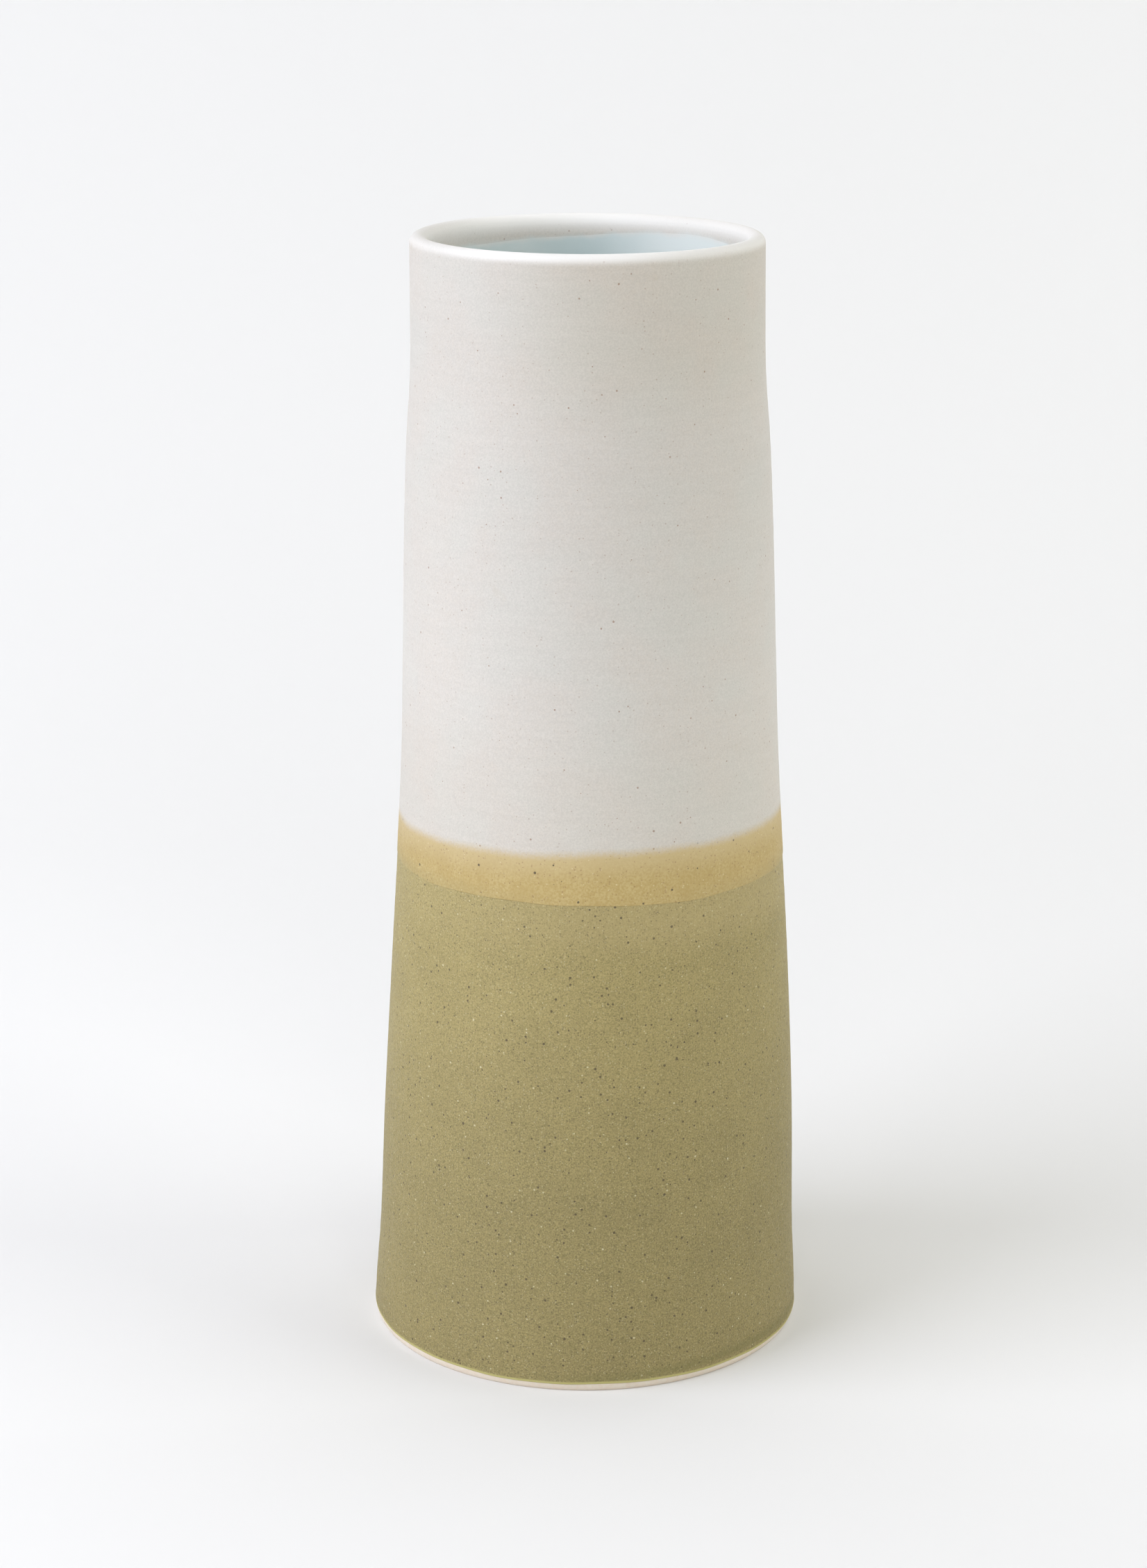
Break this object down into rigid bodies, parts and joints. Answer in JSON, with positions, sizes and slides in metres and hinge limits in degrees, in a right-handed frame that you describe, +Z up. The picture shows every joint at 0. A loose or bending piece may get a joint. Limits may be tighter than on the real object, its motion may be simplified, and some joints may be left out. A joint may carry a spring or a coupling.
{
  "type": "stoneware vase",
  "caption": "Tall hand-thrown stoneware vase, a tapering cylinder with a straight neck, open mouth and matte glazes in three bands.",
  "frame": {"origin": "centre of the foot, on the surface that the vase stands on", "axes": "+Z up the axis of the vase to its mouth; the vase is round, so X and Y are alike"},
  "size_m": [0.1102, 0.1102, 0.28],
  "materials": {
    "bare_clay": "matte, unglazed",
    "green_glaze": "matte, finely speckled",
    "ochre_overlap": "matte, finely speckled",
    "white_glaze": "smooth matte",
    "liner_glaze": "satin"
  },
  "bodies": {
    "root": {"clay_body": "bare_clay", "green_glaze": "green_glaze", "overlap_band": "ochre_overlap", "white_glaze": "white_glaze", "liner_glaze": "liner_glaze"}
  },
  "joints": []
}
